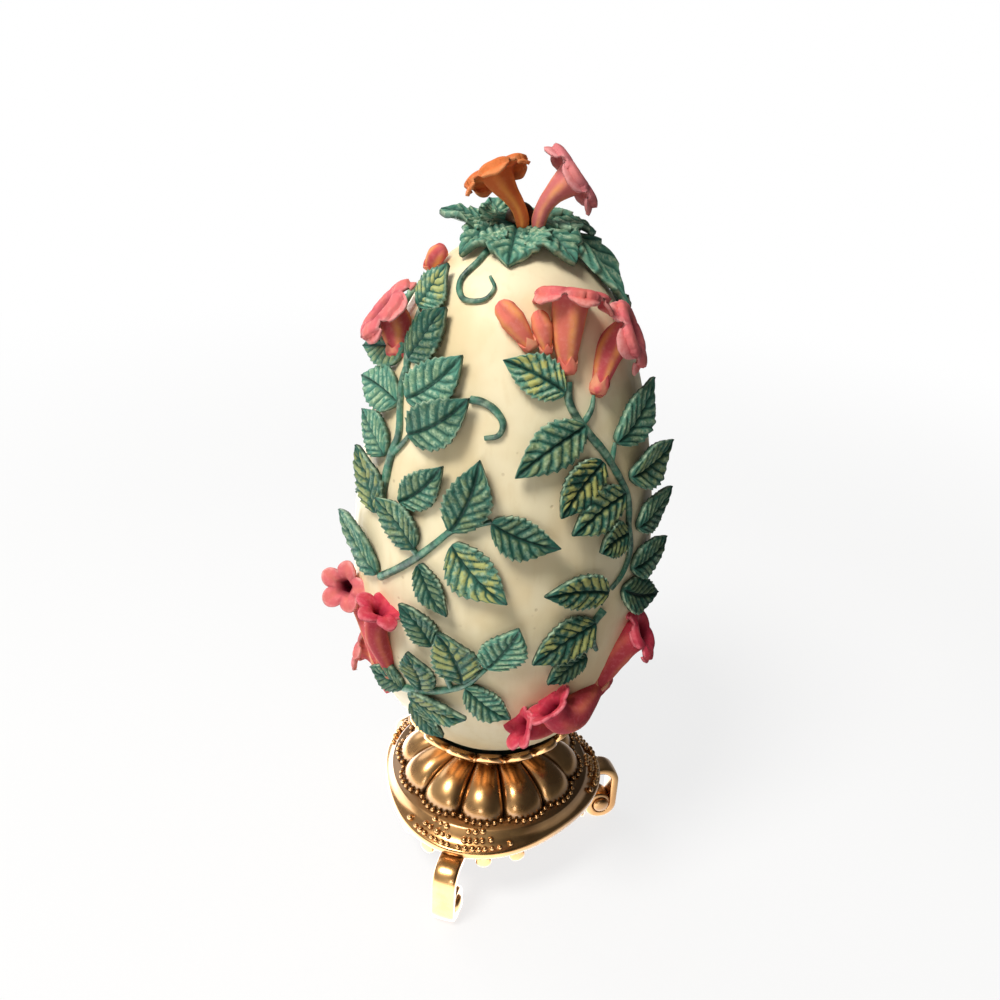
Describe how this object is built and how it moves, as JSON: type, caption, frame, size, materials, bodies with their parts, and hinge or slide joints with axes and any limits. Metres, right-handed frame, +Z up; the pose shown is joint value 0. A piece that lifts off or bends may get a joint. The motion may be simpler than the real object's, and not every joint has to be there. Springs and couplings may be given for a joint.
{
  "type": "decorative egg on stand",
  "caption": "Cream ornamental egg wrapped in raised vines, leaves and trumpet flowers, resting in a petal cup on a lobed gold stand with scroll feet.",
  "frame": {"origin": "on the surface under the feet, on the common axis of egg and stand", "axes": "+Z up along the axis of egg and stand, -Y towards the side with the two standing flowers in front, +X to the right of that side"},
  "size_m": [0.065, 0.0645, 0.1519],
  "materials": {
    "gold": "satin antique gold with darker recesses",
    "felt": "dark green felt",
    "cream": "cream paint on cast resin, faintly uneven",
    "leaf_green": "hand-painted teal green with pale edges and yellow-green dabs",
    "coral_petal": "hand-painted coral with orange streaks",
    "rose_petal": "hand-painted rose with a crimson throat",
    "orange_petal": "hand-painted orange",
    "bronze": "dark bronze",
    "plug": "black"
  },
  "bodies": {
    "stand": {"petal_cup": "gold", "felt_ring": "felt", "tie_screw": "gold", "clamp_washer": "gold", "gadroon_dome": "gold", "skirt": "gold", "lobe_beads": "gold", "filigree": "gold", "drop_tabs": "gold", "foot_front": "gold", "foot_right": "gold", "foot_rear": "gold", "foot_screws": "gold"},
    "egg": {"egg_shell": "cream", "base_plug": "plug", "crown_cap": "bronze", "crown_rosette": "leaf_green", "orange_trumpet": "orange_petal", "pink_trumpet": "rose_petal", "upper_tendril": "leaf_green", "middle_tendril": "leaf_green", "left_spray": "leaf_green", "centre_spray": "leaf_green", "right_spray": "leaf_green", "low_left_spray": "leaf_green", "low_right_spray": "leaf_green", "left_trumpet": "rose_petal", "upper_trumpet": "coral_petal", "right_trumpet": "coral_petal", "long_bud": "coral_petal", "short_bud": "coral_petal", "crimson_trumpet": "rose_petal", "small_trumpet": "rose_petal", "rear_trumpet": "rose_petal", "low_right_trumpet": "rose_petal", "low_open_trumpet": "rose_petal", "back_left_spray": "leaf_green", "back_right_spray": "leaf_green", "back_low_spray": "leaf_green", "back_tendril": "leaf_green", "back_high_trumpet": "coral_petal", "back_mid_trumpet": "coral_petal", "back_low_trumpet": "rose_petal", "back_bud": "coral_petal"}
  },
  "joints": [
    {"name": "egg_lift", "type": "slide", "parent": "stand", "child": "egg", "axis": [0, 0, 1], "range_m": [0, 0.06]}
  ]
}
